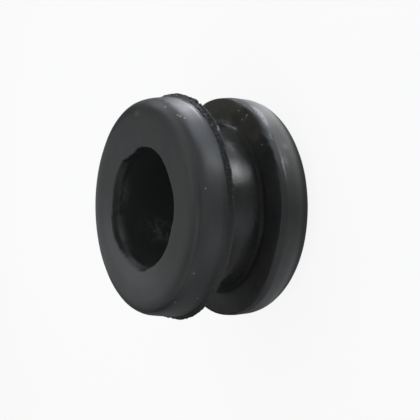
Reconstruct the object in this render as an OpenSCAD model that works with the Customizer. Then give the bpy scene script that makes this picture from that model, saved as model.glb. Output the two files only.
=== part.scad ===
// Rubber grommet: one moulded ring with a panel groove between two flanges.
// It stands on the end of its back flange, with the front face up and the bore along +Z.
// All lengths are in millimetres.

/* [Front flange] */
// Diameter of the front flange at its groove edge
front_d = 20; // [18.5:0.1:24]
// Thickness of the front flange at its rim
front_t = 3.6; // [3:0.1:6]
// Diameter of the flat ring around the bore on the front face
front_flat_d = 14.8; // [13:0.1:16]
// Radius of the crown that the front face falls away in, outside the flat ring
front_crown = 5.4; // [3.2:0.1:12]
// Radius of the corner between the crown and the front rim
front_round = 0.55; // [0.3:0.05:1.2]
// Draft of the front rim, in degrees
front_draft = 3.2; // [0:0.2:5]

/* [Back flange] */
// Largest diameter of the back flange
back_d = 20; // [18.5:0.1:24]
// Thickness of the back flange at its rim
back_t = 4.05; // [3.8:0.05:6]
// Radius of the back flange's rounded shoulder
back_round = 2.6; // [1:0.1:3]
// Draft of the back rim, in degrees
back_draft = 6; // [0:0.5:9]
// Width of the land that the mould leaves beside the groove
land_w = 0.7; // [0.3:0.05:0.8]
// How far the land falls in towards the groove edge
land_drop = 0.04; // [0.02:0.01:0.2]

/* [Groove] */
// Diameter of the groove's floor, which the panel hole takes
groove_d = 15.2; // [13.5:0.1:16.5]
// Width of the groove at its floor
groove_w = 4.35; // [1.5:0.05:8]
// How far each groove wall leans back between the floor and the rim
wall_lean = 0.35; // [0.1:0.05:0.6]
// Radius of the fillet along each side of the groove's floor
floor_fillet = 0.4; // [0.2:0.05:0.6]

/* [Bore] */
// Diameter of the bore
bore_d = 10.9; // [8:0.1:11.5]
// Diameter of the bore's mouth at each end
mouth_d = 11.4; // [11.1:0.1:12.2]
// Depth of the tapered lead-in at each mouth
mouth_depth = 0.7; // [0.4:0.05:1.5]

/* [Moulding flash] */
// Height of the flash ridge that stands proud of the front rim
flash_h = 0.3; // [0.1:0.05:0.6]
// Width of the flash ridge at its root
flash_w = 0.6; // [0.4:0.05:1]
// Width of the flash ridge at its crest
flash_crest = 0.25; // [0.1:0.05:0.35]

/* [Hidden] */
$fn = 180;

front_r = front_d / 2;
flat_r = front_flat_d / 2;
back_r = back_d / 2;
floor_r = groove_d / 2;
bore_r = bore_d / 2;
mouth_r = mouth_d / 2;

// Levels from the foot up: the groove's rim edges, its floor and the front face.
land_low = back_t - land_w;
groove_low = back_t;
floor_low = groove_low + wall_lean;
floor_high = floor_low + groove_w;
groove_high = floor_high + wall_lean;
overall_h = groove_high + front_t;

// Radius of the rim where each flash flank and land ends.
groove_edge_r = back_r - land_drop;
flash_root_r = front_r - flash_w * tan(front_draft);

// How far a shape that is added or cut away reaches past the surface that it meets.
reach = 0.5;
// How much larger a rounding circle is drawn, so that it crosses the faces that it blends.
bite = 0.002;

// The section with every corner sharp, from the foot up the outside and down the bore.
module sharp_section() {
    polygon([
        [mouth_r, 0],
        [back_r - land_low * tan(back_draft), 0],
        [back_r, land_low],
        [groove_edge_r, groove_low],
        [floor_r, floor_low],
        [floor_r, floor_high],
        [front_r, groove_high],
        [front_r + flash_h, groove_high],
        [front_r + flash_h, groove_high + flash_crest],
        [flash_root_r, groove_high + flash_w],
        [front_r - front_t * tan(front_draft), overall_h],
        [mouth_r, overall_h],
        [bore_r, overall_h - mouth_depth],
        [bore_r, mouth_depth]
    ]);
}

// What the rounded shoulder takes off the back flange. Its circle is tangent to the foot and to
// the rim, which draws in by the draft angle below the land.
module shoulder_relief() {
    centre = [
        back_r - (back_round + (land_low - back_round) * sin(back_draft)) / cos(back_draft),
        back_round
    ];
    tangent = centre + back_round * [cos(back_draft), -sin(back_draft)];
    difference() {
        polygon([
            [centre.x, -reach],
            [back_r + reach, -reach],
            [back_r + reach, tangent.y],
            tangent,
            centre
        ]);
        translate(centre)
            circle(r = back_round + bite);
    }
}

// What the crown and the corner take off the front flange. The crown's circle is tangent to the
// flat ring, and the corner's circle is tangent to the crown and to the drafted rim. The corner
// takes twice the bite, so that it crosses the crown's circle too.
module crown_relief() {
    outward = [cos(front_draft), sin(front_draft)];
    upward = [-sin(front_draft), cos(front_draft)];
    crown_centre = [flat_r, overall_h - front_crown];
    crown_to_corner = front_crown - front_round;
    across = ([front_r, groove_high] - crown_centre) * outward - front_round;
    corner_centre = crown_centre + across * outward
        + sqrt(crown_to_corner ^ 2 - across ^ 2) * upward;
    meeting_ray = (corner_centre - crown_centre) / (corner_centre.y - crown_centre.y);
    ray_top = crown_centre + (front_crown + reach) * meeting_ray;
    rim_tangent = corner_centre + front_round * outward;
    outside = max(ray_top.x, front_r) + reach;
    difference() {
        polygon([
            crown_centre,
            [flat_r, ray_top.y],
            [outside, ray_top.y],
            [outside, crown_centre.y]
        ]);
        translate(crown_centre)
            circle(r = front_crown + bite);
    }
    difference() {
        polygon([
            corner_centre,
            ray_top,
            [outside, ray_top.y],
            [outside, rim_tangent.y],
            rim_tangent
        ]);
        translate(corner_centre)
            circle(r = front_round + 2 * bite);
    }
}

// Fillet at the foot of the neck, beside a wall that leans back to the radius rim_r: a corner
// block, less the circle that is tangent to the neck and to the wall.
module floor_fillet_section(rim_r) {
    lean = atan(wall_lean / (rim_r - floor_r));
    centre = [
        floor_r + floor_fillet,
        floor_low + floor_fillet * (1 - sin(lean)) / cos(lean)
    ];
    difference() {
        polygon([
            [floor_r - reach, floor_low - reach],
            centre - (floor_fillet + reach) * [sin(lean), cos(lean)],
            centre,
            [floor_r - reach, centre.y]
        ]);
        translate(centre)
            circle(r = floor_fillet + bite);
    }
}

module grommet_section() {
    difference() {
        sharp_section();
        shoulder_relief();
        crown_relief();
    }
    floor_fillet_section(groove_edge_r);
    translate([0, floor_low + floor_high])
        mirror([0, 1])
            floor_fillet_section(front_r);
}

module grommet() {
    color("#2b2d2e")
        rotate_extrude()
            grommet_section();
}

grommet();
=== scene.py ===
"""A black rubber grommet standing on the end of its back flange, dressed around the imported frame."""

import math

import bpy
import numpy as np
from mathutils import Euler, Matrix, Vector


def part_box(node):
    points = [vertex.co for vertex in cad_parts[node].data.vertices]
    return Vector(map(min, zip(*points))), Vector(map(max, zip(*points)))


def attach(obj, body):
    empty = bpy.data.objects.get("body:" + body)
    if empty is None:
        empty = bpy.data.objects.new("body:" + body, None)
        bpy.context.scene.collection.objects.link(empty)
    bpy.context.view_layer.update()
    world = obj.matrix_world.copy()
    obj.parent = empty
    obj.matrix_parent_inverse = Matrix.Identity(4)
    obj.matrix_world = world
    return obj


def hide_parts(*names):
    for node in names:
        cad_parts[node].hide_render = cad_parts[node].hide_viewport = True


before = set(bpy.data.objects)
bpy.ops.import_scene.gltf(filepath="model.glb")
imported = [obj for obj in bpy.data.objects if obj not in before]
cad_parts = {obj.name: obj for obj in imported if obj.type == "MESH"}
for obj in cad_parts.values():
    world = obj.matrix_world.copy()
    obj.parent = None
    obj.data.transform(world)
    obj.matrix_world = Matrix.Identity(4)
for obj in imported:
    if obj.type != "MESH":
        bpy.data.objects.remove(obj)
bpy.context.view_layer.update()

# ---------------------------------------------------------------- sizes, in millimetres

# Names end in what they give: _R a radius, _T a thickness, _W a width, _H a height and _DRAFT
# the angle at which a rim leans in. Levels above the floor end in _LOW or _HIGH.
MM = 0.001
LOW, HIGH = (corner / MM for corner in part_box("grommet"))
OVERALL_H = HIGH.z - LOW.z
FLASH_H, FLASH_W, FLASH_CREST = 0.3, 0.54, 0.18
FRONT_R = (HIGH.x - LOW.x) / 2 - FLASH_H
FRONT_T, FRONT_DRAFT = 3.6, math.radians(3.2)
CROWN_W, CROWN_DROP, CROWN_POWER = 2.8, 2.4, 4.37
BACK_R, BACK_T, BACK_DRAFT = 10.0, 4.05, math.radians(6)
SHOULDER = 2.3
LAND_W, LAND_DROP = 0.7, 0.04
FLOOR_R, WALL_LEAN, FLOOR_FILLET = 7.6, 0.35, 0.07
BORE_R, MOUTH_R, MOUTH_DEPTH, BORE_SEEN = 5.45, 5.7, 0.7, 6.0

LAND_LOW = BACK_T - LAND_W
LAND_R = BACK_R - LAND_DROP
FLOOR_LOW = BACK_T + WALL_LEAN
GROOVE_HIGH = OVERALL_H - FRONT_T
FLOOR_HIGH = GROOVE_HIGH - WALL_LEAN
FLASH_R = FRONT_R + FLASH_H

# A radius inside every surface, one outside every surface, and a height above them all.
INSIDE, OUTSIDE, ABOVE = 5, 11, OVERALL_H + 1

# Steps around the ring, and the seed of all its noise.
AROUND = 530
rng = np.random.default_rng(7)


# ---------------------------------------------------------------- the half section

# Corners from the foot up the outside and down the bore: radius, height, how far the round eats
# into the line before and after the corner, and the spacing of points from here to the next one.
# The crown also has the power of its curve, which is 2 for an ellipse.
SECTION = [
    (MOUTH_R, 0, 0.12, 0.12, 0.8),
    (BACK_R - LAND_LOW * math.tan(BACK_DRAFT), 0, SHOULDER, SHOULDER, 0.3),
    (BACK_R, LAND_LOW, 0.15, 0.12, 0.1),
    (LAND_R, BACK_T, 0.1, 0.1, 0.22),
    (FLOOR_R, FLOOR_LOW, FLOOR_FILLET, FLOOR_FILLET, 0.34),
    (FLOOR_R, FLOOR_HIGH, FLOOR_FILLET, FLOOR_FILLET, 0.34),
    (FLASH_R - 0.02, GROOVE_HIGH, 0.05, 0.05, 0.05),
    (FLASH_R, GROOVE_HIGH + FLASH_CREST, 0.05, 0.05, 0.04),
    (FRONT_R - FLASH_W * math.tan(FRONT_DRAFT), GROOVE_HIGH + FLASH_W, 0.06, 0.05, 0.11),
    (FRONT_R - FRONT_T * math.tan(FRONT_DRAFT), OVERALL_H, CROWN_DROP, CROWN_W, 0.13, CROWN_POWER),
    (MOUTH_R, OVERALL_H, 0.1, 0.1, 0.09),
    (BORE_R, OVERALL_H - MOUTH_DEPTH, 0.12, 0.12, 0.3),
    (BORE_R - 0.001, OVERALL_H - BORE_SEEN, 0.1, 0.1, 1.1),
    (BORE_R, MOUTH_DEPTH, 0.1, 0.1, 0.4),
]
ARC_SAMPLES, FEWEST_ARC_STEPS = 300, 3


def unit(vector):
    return vector / np.linalg.norm(vector)


def length_along(points):
    """How far along the line through the points each one lies."""
    return np.concatenate([[0], np.cumsum(np.linalg.norm(np.diff(points, axis=0), axis=1))])


def rounded_outline(corners):
    """Points along the closed outline. Each corner is a quarter of an ellipse, or of a fuller
    curve, skewed to be tangent to the lines beside it."""
    places = [np.array(corner[:2]) for corner in corners]
    points = []
    for i, (_, _, trim_before, trim_after, step, *fullness) in enumerate(corners):
        following = (i + 1) % len(corners)
        forward = unit(places[following] - places[i])
        start = places[i] + unit(places[i - 1] - places[i]) * trim_before
        end = places[i] + forward * trim_after
        centre = start + end - places[i]
        power = 2 / (fullness[0] if fullness else 2)
        turn = np.linspace(0, math.pi / 2, ARC_SAMPLES)[:, None]
        arc = centre + (start - centre) * np.abs(np.cos(turn)) ** power
        arc = arc + (end - centre) * np.sin(turn) ** power
        reached = length_along(arc)
        arc_steps = max(FEWEST_ARC_STEPS, math.ceil(reached[-1] / step))
        for reach in np.linspace(0, reached[-1], arc_steps + 1):
            points.append(np.array([np.interp(reach, reached, arc[:, axis]) for axis in (0, 1)]))
        line_end = places[following] - forward * corners[following][2]
        pieces = max(1, math.ceil(math.dist(end, line_end) / step))
        for k in range(1, pieces):
            points.append(end + (line_end - end) * k / pieces)
    return np.array(points)


outline = rounded_outline(SECTION)
tangent = np.roll(outline, -1, axis=0) - np.roll(outline, 1, axis=0)
tangent /= np.linalg.norm(tangent, axis=1)[:, None]

# One value for each point of the ring: its angle from the camera's side, where it lies on the
# half section, its distance along the outline and the way that its surface faces.
angles = np.arange(AROUND) * 2 * math.pi / AROUND
phi, first_radius = np.meshgrid(angles, outline[:, 0], indexing="ij")
_, first_height = np.meshgrid(angles, outline[:, 1], indexing="ij")
_, along = np.meshgrid(angles, length_along(outline), indexing="ij")
normal_r = np.broadcast_to(tangent[:, 1], phi.shape)
normal_z = np.broadcast_to(-tangent[:, 0], phi.shape)


# ---------------------------------------------------------------- noise and marks around the ring

def smooth(t):
    return t * t * (3 - 2 * t)


def ring_noise(cells, second=0.0, cell_size=1.0):
    """Smooth random values from -1 to 1: so many cells around the ring and, where a second
    coordinate is given, cells of this size in millimetres along it."""
    rows = 64
    grid = rng.uniform(-1, 1, (cells, rows))
    u = np.mod(phi / (2 * math.pi), 1) * cells
    v = np.mod(second / cell_size, rows)
    iu, iv = np.floor(u).astype(int), np.floor(v).astype(int)
    fu, fv = smooth(u - iu), smooth(v - iv)
    a, b = grid[iu % cells, iv % rows], grid[(iu + 1) % cells, iv % rows]
    c, d = grid[iu % cells, (iv + 1) % rows], grid[(iu + 1) % cells, (iv + 1) % rows]
    return (a * (1 - fu) + b * fu) * (1 - fv) + (c * (1 - fu) + d * fu) * fv


def noise_layers(*layers):
    """The sum of several layers of noise, each given as its height and then its cells."""
    return sum(amount * ring_noise(*cells) for amount, *cells in layers)


def band(value, low, high, soft):
    """1 between low and high, falling to 0 over soft on each side."""
    rise = np.clip((value - low + soft) / soft, 0, 1)
    fall = np.clip((high + soft - value) / soft, 0, 1)
    return smooth(rise) * smooth(fall)


def stretch_of(heights, radii):
    """1 on one stretch of the half section, given as low, high and soft for each direction."""
    return band(first_height, *heights) * band(first_radius, *radii)


def turned(degrees):
    """The angle of every point, measured from a mark, from -pi to pi."""
    return np.mod(phi - math.radians(degrees) + math.pi, 2 * math.pi) - math.pi


def mark(degrees, at_radius, at_height, across, along_ring=None):
    """1 at the surface nearest to one place, falling to 0 over about its reach in millimetres."""
    arc = turned(degrees) * at_radius
    nearest = outline[np.argmin(np.hypot(outline[:, 0] - at_radius, outline[:, 1] - at_height))]
    section = np.hypot(first_radius - nearest[0], first_height - nearest[1])
    return np.exp(-(arc / (along_ring or across)) ** 2 - (section / across) ** 2)


def marks(places):
    """The sum of several marks, each given as its strength and then where and how wide it is."""
    return sum(strength * mark(*place) for strength, *place in places)


def wave_through(points):
    """Smooth closed curve of values around the ring, through (degrees, value) points."""
    degrees, values = np.array(sorted(points)).T
    degrees = np.concatenate([degrees - 360, degrees, degrees + 360])
    here = np.degrees(turned(0))
    upper = np.clip(np.searchsorted(degrees, here, side="right"), 1, len(degrees) - 1)
    share = (here - degrees[upper - 1]) / (degrees[upper] - degrees[upper - 1])
    values = np.tile(values, 3)
    return values[upper - 1] + (values[upper] - values[upper - 1]) * smooth(share)


# ---------------------------------------------------------------- the ring's surface

# Where every point ends up, which the sections below change step by step.
radius, height = first_radius.copy(), first_height.copy()

# The back flange's groove edge wanders, because the mould's halves met there, and is a little
# rough. The waves here and below are (degrees, millimetres or share).
EDGE_WANDER = [(100, 0.34), (78, 0.18), (63, -0.06), (52, -0.02), (43, 0.12), (34, 0.08),
               (28, -0.06), (0, -0.16), (-30, 0.0), (-60, -0.16), (-90, 0.04), (-135, 0.1),
               (-180, -0.06), (-225, 0.12)]
EDGE_ROUGH = [(75, 1.0), (45, 1.9), (20, 1.5), (-5, 1.0), (-60, 1.0), (-90, 0.6), (-180, 0.6)]
edge_reach = stretch_of((BACK_T - 0.15, BACK_T + 0.2, 1.4), (8.9, OUTSIDE, 1.2))
height += edge_reach * wave_through(EDGE_WANDER)
edge_only = stretch_of((BACK_T - 0.15, BACK_T + 0.05, 0.4), (BACK_R - 0.1, OUTSIDE, 0.12))
edge_only *= wave_through(EDGE_ROUGH)
height += edge_only * noise_layers((0.045, 66), (0.03, 150))

# The front flange is slightly wider at the top and the bottom of the view.
FRONT_WAVE = [(175, 0.0), (150, 0.08), (128, 0.17), (110, 0.18), (96, 0.12), (84, 0.09),
              (70, 0.09), (20, 0.0), (-30, 0.0), (-80, 0.02), (-92, 0.05), (-100, 0.11),
              (-112, 0.13), (-125, 0.1), (-145, 0.04), (-168, 0.0)]
on_front = band(first_height, GROOVE_HIGH, ABOVE, 0.2)
on_front = on_front * np.clip((first_radius - MOUTH_R) / 4, 0, 1)
radius += on_front * wave_through(FRONT_WAVE)

# The neck draws in a little towards the back flange.
NECK_DRAW, NECK_DRAWN_TO, NECK_EASE = 0.05, FLOOR_LOW + 1.1, 1.3
on_neck = stretch_of((BACK_T, FLOOR_HIGH, 0.1), (FLOOR_R - 0.1, FLOOR_R + 0.01, 0.3))
up_neck = smooth(np.clip((first_height - NECK_DRAWN_TO) / NECK_EASE, 0, 1))
radius -= NECK_DRAW * on_neck * (1 - up_neck)


# ---------------------------------------------------------------- the flash on the front rim

# How far each point stands proud of the rim, and how rough the flash is around the ring.
FLASH_ROUGH = [(100, 0.55), (84, 0.6), (62, 1.0), (55, 1.0), (35, 0.55), (8, 0.5), (-8, 0.15),
               (-62, 0.15), (-80, 0.7), (-100, 0.8), (-180, 0.7)]
rim_line = FRONT_R - np.clip(first_height - GROOVE_HIGH, 0, None) * math.tan(FRONT_DRAFT)
proud = np.clip(first_radius - rim_line, 0, None)
proud = proud * band(first_height, GROOVE_HIGH, GROOVE_HIGH + FLASH_W, 0.05)
flash_zone = np.clip(proud / 0.1, 0, 1)
flash_rough = wave_through(FLASH_ROUGH)

# Its crest is ragged and torn, as a share of its full height.
CREST_USUAL, CREST_LOWEST, CREST_HIGHEST, TEAR_DEPTH = 0.86, 0.2, 1.02, 0.4
ragged = noise_layers((0.16, 46, height, 9), (0.2, 170, height, 0.22))
torn = smooth(np.clip(ring_noise(70, height, 9) * 2.2 - 0.9, 0, 1))
crest = CREST_USUAL + flash_rough * (ragged - TEAR_DEPTH * torn)
crest = np.clip(crest, CREST_LOWEST, CREST_HIGHEST)

# Fibres lie on it, and a valley runs along it.
FIBRE_H, VALLEY_LEVEL, VALLEY_W, VALLEY_DEPTH = 0.02, GROOVE_HIGH + 0.3, 0.06, 0.1
fibres = noise_layers((0.05, 290, height, 0.12), (0.05, 210, height, 0.2))
valley_at = VALLEY_LEVEL + 0.06 * ring_noise(60)
valley = np.exp(-((first_height - valley_at) / VALLEY_W) ** 2) * (0.6 + 0.4 * ring_noise(110))
radius += proud * (crest - 1) + flash_zone * flash_rough * np.minimum(fibres, FIBRE_H)
radius -= VALLEY_DEPTH * flash_zone * valley * (0.4 + 0.6 * flash_rough)

# It spreads over the rim in places, leans towards one side or the other, and wanders.
FLASH_SPREAD = [(105, 0.2), (60, 0.22), (45, 0.14), (32, 0.0), (5, 0.1), (-15, 0.0)]
FLASH_LEAN = [(90, 0.06), (66, -0.16), (20, -0.04), (-40, -0.1), (-90, -0.2), (180, 0.0)]
flash_reach = stretch_of((GROOVE_HIGH - 0.06, GROOVE_HIGH + FLASH_W, 0.3), (9.5, OUTSIDE, 0.5))
flash_front = stretch_of((GROOVE_HIGH + 0.42, GROOVE_HIGH + FLASH_W + 0.1, 0.2),
                         (9.5, OUTSIDE, 0.5))
height += flash_front * wave_through(FLASH_SPREAD)
wander = 0.05 * ring_noise(26) + 0.05 * ring_noise(120, height, 0.4) * flash_zone
height += flash_reach * (wave_through(FLASH_LEAN) + wander)


# ---------------------------------------------------------------- the mouth, and the unevenness

# The front mouth was trimmed by hand: its edge wanders, with a step inwards and a pointed end.
# A ledge is given by its strength, degrees, radius, height, and reach across and along the ring.
MOUTH_EDGE = [(0, 0.0), (30, -0.13), (65, -0.05), (98, -0.2), (110, -0.42), (121, -0.34),
              (132, -0.02), (160, -0.02), (182, -0.03), (191, 0.22), (205, 0.34), (219, 0.24),
              (233, 0.03), (251, 0.06), (268, 0.24), (281, 0.0), (320, -0.06), (338, -0.14),
              (352, -0.02)]
MOUTH_TRIM, LEDGE_DEPTH = 0.06, 0.12
LEDGES = [(1, 248, 5.4, 12.1, 0.4, 1.7), (0.6, 150, 5.4, 12.1, 0.35, 1.4)]
mouth = stretch_of((OVERALL_H - 0.45, ABOVE, 0.8), (INSIDE, MOUTH_R + 0.05, 0.8))
edge_noise = noise_layers((0.03, 40), (0.02, 95))
radius += mouth * (wave_through(MOUTH_EDGE) - MOUTH_TRIM + edge_noise)
radius -= LEDGE_DEPTH * marks(LEDGES)

# Slow unevenness of the whole moulding, a streaky patch in the bore and at its lip, and dents.
# Marks are given as in LEDGES. What lies below FOOT_H keeps its height, so the foot stays flat.
# The streaks of the patch are real relief. Its lighter colour in the material is painted light: a pool
# of light on the bore's wall at the lower left of the view, and a glint inside the mouth at the left.
BORE_PATCH = (-156, BORE_R, 7.9, 1.6, 1.1)
LIP_PATCH = (165, BORE_R, 11.6, 0.4, 1.1)
PATCH_DEPTH = 0.05
DENTS = [(-0.09, 64, 9.23, 4.15, 0.22), (-0.05, 39, 9.97, 3.6, 0.15), (-0.05, 59, 9.97, 3.8, 0.18),
         (-0.04, 95, 8.3, OVERALL_H, 0.14, 0.5), (-0.04, 92, 8.7, OVERALL_H, 0.3, 0.12)]
FOOT_H = 0.02
uneven = noise_layers((0.016, 14, along, 2.2), (0.008, 40, along, 0.9))
streaky_bore_patch = mark(*BORE_PATCH) * np.clip(0.5 + 1.3 * ring_noise(64, along, 0.17), 0, 1)
streaky_bore_patch = np.clip(streaky_bore_patch + 0.75 * mark(*LIP_PATCH), 0, 1)
shift = uneven + marks(DENTS) + PATCH_DEPTH * streaky_bore_patch
radius += shift * normal_r
height += np.where(first_height < FOOT_H, 0, shift * normal_z)
height = np.clip(height, 0, OVERALL_H + 0.01)


# ---------------------------------------------------------------- zones, as values at the points

# The groove: the polished neck, the fillet at its foot, the wall and the land beside it.
LAND_DULL = [(80, 0.5), (50, 0.8), (12, 0.8), (-15, 0.3), (-90, 0.2), (-180, 0.6)]
# Painted light on the groove wall: full at the top of the view, half at the left, none at the right
# and bottom. The material breaks it into patches.
WALL_LIGHT_SHARE = [(100, 1.0), (70, 1.0), (52, 0.55), (36, 0.12), (20, 0.0), (-60, 0.0), (-180, 0.5)]
low_fillet = stretch_of((BACK_T, FLOOR_LOW + 0.2, 0.1), (FLOOR_R + 0.01, FLOOR_R + 0.3, 0.1))
polished = band(np.degrees(turned(85)), -14, 20, 8)
dull_fillet = low_fillet * (1 - polished)
neck_zone = stretch_of((FLOOR_LOW, FLOOR_HIGH, 0.1), (7, FLOOR_R + 0.01, 0.15))
neck_zone = np.maximum(neck_zone * (1 - low_fillet), low_fillet * polished)
on_wall = stretch_of((BACK_T - 0.05, FLOOR_LOW, 0.1), (FLOOR_R + 0.2, LAND_R, 0.2))
on_land = stretch_of((LAND_LOW + 0.1, BACK_T, 0.1), (LAND_R - 0.01, OUTSIDE, 0.05))

# The front: its bore and lip, painted bounce light on the ring of its face, and painted light along
# the crown's rounded corner, standing in for a brighter reflection there.
FACE_LIGHT_SHARE = [(-154, 1.0), (-128, 1.0), (-92, 1.0), (-75, 0.8), (-58, 0.35), (-35, 0.0),
             (60, 0.0), (100, 0.1), (160, 0.1), (-180, 0.35)]
bore_zone = band(first_radius, INSIDE, BORE_R + 0.02, 0.1)
lip_zone = band(first_radius, INSIDE, MOUTH_R + 0.03, 0.05) * (1 - bore_zone)
# Painted light along the crown's rounded corner, standing in for a brighter reflection there.
corner_light_zone = stretch_of((GROOVE_HIGH + 1.2, OVERALL_H, 0.5), (9, OUTSIDE, 0.3))
corner_light_zone = corner_light_zone * band(normal_z, 0.1, 0.45, 0.2)
# Painted bounce light: the face is lighter towards the bottom and lower left of the view, most near
# the mouth.
face_light_zone = band(normal_z, 0.8, 2, 0.2) * band(first_height, OVERALL_H - 1, OVERALL_H, 0.5)
face_light_zone *= wave_through(FACE_LIGHT_SHARE)
face_light_zone *= 0.62 + 0.38 * band(first_radius, INSIDE, 6.9, 0.9)

# Where the flash shows dark, and painted shade: the fillet at the neck's foot and, at the bottom of
# the view, both rims are darkened where shade falls.
FLASH_SHOWS = [(100, 1.0), (6, 1.0), (-10, 0.45), (-24, 0.2), (-60, 0.2), (-78, 0.8),
               (-100, 1.0), (-180, 0.8)]
AT_BOTTOM = [(-56, 0.0), (-74, 1.0), (-110, 1.0), (-140, 0.0), (60, 0.0)]
front_rim_band = stretch_of((GROOVE_HIGH, GROOVE_HIGH + 1.7, 0.9), (9.5, OUTSIDE, 0.3))
back_rim_band = stretch_of((BACK_T - 0.6, BACK_T + 0.1, 0.3), (9.3, OUTSIDE, 0.5))
rim_painted_shade = wave_through(AT_BOTTOM) * np.maximum(front_rim_band, back_rim_band)

# Specks of dust: degrees, radius, height and reach. Of those that overlap, the stronger shows.
SPECKS = [
    (69.6, 9.5, 12.2, 0.16), (56.3, 9.7, 11.8, 0.16), (54, 9.8, 11.6, 0.13), (58, 9.7, 12.0, 0.14),
    (9.6, 9.87, 11.75, 0.12), (-38, 9.85, 11.9, 0.1), (-62.5, 9.8, 11.95, 0.1),
    (-56.4, 9.92, 10.2, 0.1), (64, 9.2, 4.2, 0.16), (66, 8.6, 4.3, 0.1), (71, 9.3, 4.15, 0.1),
    (38, 9.1, 4.2, 0.09),
]

# Lighter marks: painted highlights and glints on the edges of the groove, the flash and the rims,
# and smudges of wear near the crown. Each gives strength, degrees, radius, height, and the reach
# across and along the ring.
GLINTS_AND_WEAR = [
    # Painted highlights and glints: on the back rim's land, at the foot of the neck, on and beside the
    # flash, and on the back rim.
    (1, 22, BACK_R, LAND_LOW, 0.1, 1.1),
    (0.5, 40, BACK_R, LAND_LOW + 0.2, 0.1, 0.5),
    (0.55, 81, FLOOR_R, FLOOR_LOW, 0.2, 1.3),
    (0.8, 70, FLOOR_R, FLOOR_LOW, 0.14, 0.25),
    (2.4, 57, BACK_R, LAND_LOW + 0.12, 0.2, 1.5),
    (0.5, 66, LAND_R, BACK_T, 0.1, 1.5),
    (1.6, 43, FLASH_R, GROOVE_HIGH, 0.17, 0.24),
    (0.12, -22, FLASH_R, GROOVE_HIGH, 0.1, 2.4),
    (0.14, -16, FLOOR_R, FLOOR_LOW, 0.1, 1.3),
    (0.8, 60, FRONT_R - 0.05, GROOVE_HIGH + 0.92, 0.15, 1.3),
    (0.35, 24, BACK_R, LAND_LOW - 0.4, 0.2, 0.5),
    (0.3, 33, BACK_R, LAND_LOW - 0.8, 0.3, 0.3),
    # Smudges of wear on the face, near the crown.
    (0.2, 97, 8.5, OVERALL_H, 0.25, 0.4),
    (0.25, 75, 9.5, OVERALL_H - 0.4, 0.35, 1.4),
]

# The material reads these by name. Several carry painted light or shade: on the groove wall, in the
# fillet and along the rims, in the bore, on the face, on the crown's corner, and as highlights on
# edges.
ZONES = {
    "flash": flash_zone * wave_through(FLASH_SHOWS),
    "torn": flash_zone * flash_rough,
    "neck": neck_zone,
    "dull": dull_fillet + on_land * wave_through(LAND_DULL),
    "painted_wall_light": on_wall * wave_through(WALL_LIGHT_SHARE),
    "painted_shade": np.maximum(dull_fillet, rim_painted_shade),
    "bore": bore_zone,
    "painted_bore_light": streaky_bore_patch,
    "lip": lip_zone,
    "painted_face_light": face_light_zone,
    "painted_corner_light": corner_light_zone,
    "specks": np.max([mark(*place) for place in SPECKS], axis=0),
    "glints_and_wear": np.clip(marks(GLINTS_AND_WEAR), 0, 1),
}


def add_object(name, data):
    added = bpy.data.objects.new(name, data)
    bpy.context.scene.collection.objects.link(added)
    return added


def ring_mesh(name):
    """Closed mesh of quads: one loop of the section for each step around the ring."""
    rows, cols = phi.shape
    azimuth = phi - math.pi / 2
    points = np.stack([radius * np.cos(azimuth), radius * np.sin(azimuth), height], -1)
    i, j = np.meshgrid(np.arange(rows), np.arange(cols), indexing="ij")
    ni, nj = (i + 1) % rows, (j + 1) % cols
    quads = np.stack([i * cols + j, ni * cols + j, ni * cols + nj, i * cols + nj], -1)
    mesh = bpy.data.meshes.new(name)
    mesh.from_pydata((points.reshape(-1, 3) * MM).tolist(), [], quads.reshape(-1, 4).tolist())
    mesh.polygons.foreach_set("use_smooth", np.ones(phi.size, bool))
    for zone, values in ZONES.items():
        layer = mesh.attributes.new(zone, "FLOAT", "POINT")
        layer.data.foreach_set("value", values.reshape(-1).astype(np.float32))
    mesh.update()
    return add_object(name, mesh)


# ---------------------------------------------------------------- node trees

class Nodes:
    """Short calls that build one node tree. A value is a number or another node's output."""

    def __init__(self, tree):
        self.tree = tree

    def feed(self, socket, value):
        if isinstance(value, bpy.types.NodeSocket):
            self.tree.links.new(value, socket)
        else:
            socket.default_value = value

    def add(self, kind, inputs=None, output=0, **settings):
        """A new node with these inputs and settings. Returns one of its outputs."""
        node = self.tree.nodes.new("ShaderNode" + kind)
        for setting, value in settings.items():
            setattr(node, setting, value)
        for socket, value in (inputs or {}).items():
            self.feed(node.inputs[socket], value)
        return node.outputs[output]

    def attribute(self, name):
        return self.add("Attribute", output="Fac", attribute_name=name)

    def math(self, operation, a, b):
        return self.add("Math", {0: a, 1: b}, operation=operation)

    def vector(self, operation, a, b):
        return self.add("VectorMath", {0: a, 1: b}, operation=operation)

    def noise(self, place, size_mm, detail=2.0, stretch=None):
        """Noise whose features are about this large. A stretch below 1 draws them out."""
        if stretch:
            place = self.add("Mapping", {"Vector": place, "Scale": stretch})
        inputs = {"Vector": place, "Scale": 1 / (size_mm * MM), "Detail": detail}
        return self.add("TexNoise", inputs, output="Fac")

    def between(self, value, low, high, to_low=0.0, to_high=1.0):
        """A smooth step from to_low, where the value is low, to to_high, where it is high."""
        inputs = {"Value": value, "From Min": low, "From Max": high, "To Min": to_low,
                  "To Max": to_high}
        return self.add("MapRange", inputs, interpolation_type="SMOOTHSTEP")

    def patchy(self, zone, texture, low, high, least=0.0, most=1.0):
        """A zone broken up by a texture, so that it shows between least and most of itself."""
        return self.math("MULTIPLY", self.attribute(zone),
                         self.between(texture, low, high, least, most))

    def blend(self, factor, a, b):
        """A mix of two colours, each a node's output or three numbers."""
        a, b = (c if isinstance(c, bpy.types.NodeSocket) else (*c, 1) for c in (a, b))
        return self.add("Mix", {0: factor, 6: a, 7: b}, output=2, data_type="RGBA")


# ---------------------------------------------------------------- material

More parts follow.
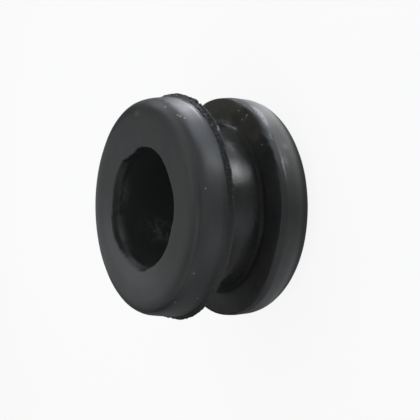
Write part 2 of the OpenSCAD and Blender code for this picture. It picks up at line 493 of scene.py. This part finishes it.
RUBBER = (0.0168, 0.0184, 0.0196)
RUBBER_OLIVE = (0.0242, 0.0243, 0.0208)
RUBBER_GREY = (0.026, 0.028, 0.03)
FLASH_DARK = (0.006, 0.0062, 0.0064)
# Painted shade, for the fillet at the neck's foot and for the rims at the bottom of the view.
PAINTED_SHADE = (0.006, 0.0062, 0.0036)
# Painted bounce light on the face.
FACE_PAINTED_LIGHT = (0.058, 0.0595, 0.0605)
BORE = (0.03, 0.032, 0.031)
LIP = (0.011, 0.012, 0.0125)
# Painted light for the crown's corner.
CORNER_PAINTED_LIGHT = (0.044, 0.046, 0.048)
# Painted light for the groove wall, olive-tinted.
WALL_PAINTED_LIGHT = (0.043, 0.041, 0.03)
# Painted light: a pool in the bore and a glint at its lip.
BORE_PAINTED_LIGHT = (0.14, 0.147, 0.147)
FIBRE = (0.075, 0.08, 0.084)
DUST = (0.28, 0.29, 0.3)
# Painted highlights and glints on edges, and wear near the crown.
GLINT_AND_WEAR_COLOUR = (0.34, 0.35, 0.36)

# Zones whose colour is even, from the bottom layer up: how much of the colour shows, and which.
# The second, third and last layers are painted: shade in the fillet and along the rims, bounce light
# on the face, and light along the crown's corner.
EVEN_ZONES = (("flash", 0.9, FLASH_DARK), ("painted_shade", 0.8, PAINTED_SHADE), ("painted_face_light", 1.0, FACE_PAINTED_LIGHT),
              ("bore", 1.0, BORE), ("lip", 1.0, LIP), ("painted_corner_light", 0.9, CORNER_PAINTED_LIGHT))
BLOTCH_SHARE, DUST_SHARE, SPECK_SHARE = 0.35, 0.3, 0.9
ROUGHNESS = 0.44
ROUGHNESS_CHANGES = (("neck", -0.26), ("flash", 0.3), ("dull", 0.28))
BUMP_DEPTH = 0.006 * MM
COARSE_BUMP, TORN_BUMP = 1.5, 6.0


def rubber_colour(n, place, mottle, grain, torn):
    """The rubber, mottled and blotched, then what each zone lays on it, from the bottom up: the flash,
    bore, lip, fibres, dust and specks of its own, and painted shade, painted light and painted
    highlights.
    """
    colour = n.blend(n.between(mottle, 0.35, 0.65), RUBBER, RUBBER_OLIVE)
    blotch = n.between(n.noise(place, 1.1, 3), 0.35, 0.68, 0.0, BLOTCH_SHARE)
    colour = n.blend(blotch, colour, RUBBER_GREY)
    for zone, share, tint in EVEN_ZONES:
        colour = n.blend(n.math("MULTIPLY", n.attribute(zone), share), colour, tint)
    # Painted light on the groove wall, in patches.
    wall_lit = n.patchy("painted_wall_light", n.noise(place, 0.9, 3), 0.3, 0.7, 0.6)
    colour = n.blend(wall_lit, colour, WALL_PAINTED_LIGHT)
    # Painted light in the bore and at its lip.
    bore_lit = n.patchy("painted_bore_light", n.noise(place, 0.3), 0.35, 0.6, 0.2)
    colour = n.blend(bore_lit, colour, BORE_PAINTED_LIGHT)
    colour = n.blend(torn, colour, FIBRE)
    dust = n.between(n.noise(place, 0.12, 1), 0.78, 0.84, 0.0, DUST_SHARE)
    dusty = n.math("MULTIPLY", dust, n.between(n.noise(place, 1.7), 0.45, 0.7))
    colour = n.blend(dusty, colour, DUST)
    speck = n.between(n.attribute("specks"), 0.35, 0.75, 0.0, SPECK_SHARE)
    colour = n.blend(speck, colour, DUST)
    # Painted highlights and glints, and wear.
    glinting = n.patchy("glints_and_wear", grain, 0.3, 0.6, 0.25, 0.75)
    return n.blend(glinting, colour, GLINT_AND_WEAR_COLOUR)


def rubber_roughness(n, place, mottle, grain):
    rough = n.math("ADD", ROUGHNESS, n.between(mottle, 0.3, 0.7, -0.03, 0.05))
    for zone, change in ROUGHNESS_CHANGES:
        rough = n.math("ADD", rough, n.math("MULTIPLY", n.attribute(zone), change))
    rough = n.math("ADD", rough, n.between(grain, 0.3, 0.7, -0.03, 0.03))
    streaks = n.noise(place, 0.35, 2, (0.06, 0.06, 1))
    return n.math("ADD", rough, n.patchy("neck", streaks, 0.35, 0.65, -0.02, 0.03))


def rubber_relief(n, place, grain, torn):
    """The direction of the surface, with fine grain on it, coarse grain and torn fibres."""
    coarse = n.math("MULTIPLY", n.noise(place, 0.5), COARSE_BUMP)
    relief = n.math("ADD", grain, coarse)
    relief = n.math("ADD", relief, n.math("MULTIPLY", torn, TORN_BUMP))
    return n.add("Bump", {"Height": relief, "Distance": BUMP_DEPTH})


def rubber_material():
    material = bpy.data.materials.new("rubber")
    material.use_nodes = True
    n = Nodes(material.node_tree)
    place = n.add("TexCoord", output="Object")
    mottle = n.noise(place, 3.2, 3)
    grain = n.noise(place, 0.16, 3)
    torn = n.patchy("torn", n.noise(place, 0.17, 2, (1, 1, 0.5)), 0.56, 0.66)
    shader = material.node_tree.nodes["Principled BSDF"].inputs
    n.feed(shader["Base Color"], rubber_colour(n, place, mottle, grain, torn))
    n.feed(shader["Roughness"], rubber_roughness(n, place, mottle, grain))
    n.feed(shader["Normal"], rubber_relief(n, place, grain, torn))
    return material


# ---------------------------------------------------------------- camera

VIEW_TILT = math.radians(59.52)
VIEW_ROLL = math.radians(0.503)
CAMERA_DISTANCE = 458.0 * MM
# Focal length and sensor width, in millimetres, and how far the camera aims off the centre.
LENS, SENSOR = 428.57, 36
AIM_RIGHT, AIM_UP = 0.658 * MM, -0.302 * MM

# The view lies on its side: the grommet's axis points left, and +X points up.
BACK = Vector((0, -math.sin(VIEW_TILT), math.cos(VIEW_TILT)))
LEVEL_RIGHT = Vector((0, -math.cos(VIEW_TILT), -math.sin(VIEW_TILT)))
LEVEL_UP = Vector((1, 0, 0))
RIGHT = LEVEL_RIGHT * math.cos(VIEW_ROLL) - LEVEL_UP * math.sin(VIEW_ROLL)
UP = LEVEL_RIGHT * math.sin(VIEW_ROLL) + LEVEL_UP * math.cos(VIEW_ROLL)
CENTRE = Vector((0, 0, OVERALL_H / 2 * MM))


def add_camera():
    data = bpy.data.cameras.new("camera")
    data.sensor_width = SENSOR
    data.lens = LENS
    camera = add_object("camera", data)
    place = CENTRE + BACK * CAMERA_DISTANCE + RIGHT * AIM_RIGHT + UP * AIM_UP
    axes = Matrix((RIGHT, UP, BACK)).transposed()
    camera.matrix_world = Matrix.Translation(place) @ axes.to_4x4()
    bpy.context.scene.camera = camera


# ---------------------------------------------------------------- lamps

COOL, VIOLET, BLUE = (0.97, 1.0, 1.02), (0.98, 0.975, 1.06), (0.88, 0.97, 1.16)
FACE_DOWN = Euler((math.pi, 0, 0))

# No lamp on the floor shines from inside this radius, and each comes up to its level just
# outside it, in millimetres.
LAMP_HOLE_R, LAMP_HOLE_SOFT = BACK_R - 0.1, 0.4
# The lamps on the floor overlap, and lie at heights of their own, or one would hide another.
LOWEST_LAMP, LAMP_SPACING = 0.15, 0.03

# The numbers of FLOOR_SPOTS and SOFT_BOXES come from a least-squares fit that a separate program
# made, and so does GLOSSY_WHITE below. They are no example to follow. Of the spots, back_top was
# not fitted but given, and neck, neck_top, right_far, top_right and top_far were changed after the
# fit.
#
# Spots: centre and reach in millimetres, how bright, and colour.
FLOOR_SPOTS = (
    ("foot_front", (-6, -6), 10, 0.94, COOL),
    ("foot_right", (6, -6), 10, 2.09, COOL),
    ("foot_top", (6, 0), 10, 3.76, COOL),
    ("left_near", (-6, -18), 10, 0.41, COOL),
    ("left_far", (-20, -30), 18, 1.25, COOL),
    ("neck", (11.5, -14.5), 6, 6.3, COOL),
    ("neck_top", (15, -11.5), 6.5, 1.5, BLUE),
    ("back_top", (12.6, -4), 4, 2.8, VIOLET),
    ("right_far", (18, -21), 6.5, 12.6, COOL),
    ("top_right", (36, -12), 10, 12.4, BLUE),
    ("top_far", (26, 6), 10, 14.4, VIOLET),
)
# Soft boxes: azimuth and elevation in degrees, distance and side in metres, and how bright.
SOFT_BOXES = (
    ("upper_top", 30, 45, 0.12, 0.1, 1.0),
    ("low_right", 90, 15, 0.12, 0.1, 0.61),
    ("low_front", 150, 15, 0.12, 0.1, 0.48),
    ("upper_front", 180, 45, 0.12, 0.1, 0.7),
    ("low_top", 330, 15, 0.12, 0.1, 1.15),
    ("upper_left", 330, 45, 0.12, 0.1, 0.7),
    ("high_right", 120, 68, 0.12, 0.05, 2.26),
    ("high_left", 300, 68, 0.12, 0.05, 1.41),
    ("near_front", 240, 40, 0.05, 0.035, 0.31),
    ("near_left", 270, 40, 0.05, 0.035, 0.34),
    ("near_low", 270, 14, 0.05, 0.022, 0.47),
)


def square_lamp(name, place, rotation, side, radiance, colour):
    """A square lamp of this side in metres, whose face is this many times as bright as white."""
    data = bpy.data.lights.new(name, "AREA")
    data.shape = "SQUARE"
    data.size = side
    data.energy = radiance * math.pi * side * side
    data.color = colour
    lamp = add_object(name, data)
    lamp.location = place
    lamp.rotation_euler = rotation
    lamp.visible_camera = False
    return lamp


def soft_box(name, azimuth, elevation, distance, side, radiance):
    """A lamp that faces the grommet. Its azimuth goes from image up towards the camera's side."""
    around, up = math.radians(azimuth), math.radians(elevation)
    level = math.cos(up)
    direction = Vector((level * math.cos(around), -level * math.sin(around), math.sin(up)))
    rotation = direction.to_track_quat("Z", "X").to_euler()
    square_lamp(name, CENTRE + direction * distance, rotation, side, radiance, COOL)


def floor_spot(name, centre, reach, radiance, colour, level):
    """A lamp that lies at a low level above the floor and lights the grommet's rims from below.
    It is brightest at its centre, and fades out over its reach."""
    lamp = square_lamp(name, Vector((*centre, level)) * MM, FACE_DOWN, 2 * reach * MM, radiance,
                       colour)
    lamp.data.use_nodes = True
    tree = lamp.data.node_tree
    n = Nodes(tree)
    place = n.add("NewGeometry", output="Position")

    def distance_from(x, y, scale):
        offset = n.vector("SUBTRACT", place, (x, y, 0))
        scaled = n.vector("MULTIPLY", offset, (scale, scale, 0))
        return n.add("VectorMath", {0: scaled}, output="Value", operation="LENGTH")

    from_centre = distance_from(centre[0] * MM, centre[1] * MM, 1 / reach / MM)
    from_axis = distance_from(0, 0, 1 / MM)
    fades = n.between(from_centre, 0, 1, 1, 0)
    begins = n.between(from_axis, LAMP_HOLE_R, LAMP_HOLE_R + LAMP_HOLE_SOFT)
    n.feed(tree.nodes["Emission"].inputs["Strength"], n.math("MULTIPLY", fades, begins))


def add_lamps():
    for count, (spot, centre, reach, radiance, colour) in enumerate(FLOOR_SPOTS):
        level = LOWEST_LAMP + LAMP_SPACING * count
        floor_spot("floor_light_" + spot, centre, reach, radiance, colour, level)
    for spot, azimuth, elevation, distance, side, radiance in SOFT_BOXES:
        soft_box("soft_box_" + spot, azimuth, elevation, distance, side, radiance)


# ---------------------------------------------------------------- floor and world

# The floor is pale where the camera sees it, and darker in the light that it throws back. It
# glows for the camera, and dimly for what mirrors it, so that its white needs no stronger lamps.
FLOOR_HALF = 1.5
FLOOR_PALE, FLOOR_DARK = (0.9,) * 3, (0.25,) * 3
CAMERA_WHITE, GLOSSY_WHITE = 0.9, 0.138
GLOW = (("Is Camera Ray", CAMERA_WHITE), ("Is Glossy Ray", GLOSSY_WHITE),
        ("Is Transmission Ray", GLOSSY_WHITE))


def floor_material():
    material = bpy.data.materials.new("paper")
    material.use_nodes = True
    material.cycles.emission_sampling = "NONE"
    material.node_tree.nodes.clear()
    n = Nodes(material.node_tree)
    path = material.node_tree.nodes.new("ShaderNodeLightPath").outputs
    tone = n.blend(path["Is Camera Ray"], FLOOR_DARK, FLOOR_PALE)
    share = 0.0
    for ray, white in GLOW:
        share = n.math("ADD", share, n.math("MULTIPLY", path[ray], white))
    paper = n.add("BsdfDiffuse", {"Color": tone})
    surface = n.add("MixShader", {0: share, 1: paper, 2: n.add("Emission")})
    end = material.node_tree.nodes.new("ShaderNodeOutputMaterial")
    n.feed(end.inputs["Surface"], surface)
    return material


def add_floor():
    mesh = bpy.data.meshes.new("floor")
    corners = [(x * FLOOR_HALF, y * FLOOR_HALF, 0) for x, y in ((-1, -1), (1, -1), (1, 1), (-1, 1))]
    mesh.from_pydata(corners, [], [(0, 1, 2, 3)])
    mesh.materials.append(floor_material())
    add_object("floor", mesh)


def set_dark_world():
    world = bpy.data.worlds.new("world")
    bpy.context.scene.world = world
    world.use_nodes = True
    world.node_tree.nodes["Background"].inputs["Strength"].default_value = 0.0


# ---------------------------------------------------------------- the scene

add_camera()
grommet = ring_mesh("rubber_grommet")
grommet.data.materials.append(rubber_material())
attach(grommet, "root")
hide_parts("grommet")

add_floor()
set_dark_world()
add_lamps()
bpy.context.scene.view_settings.view_transform = "Standard"
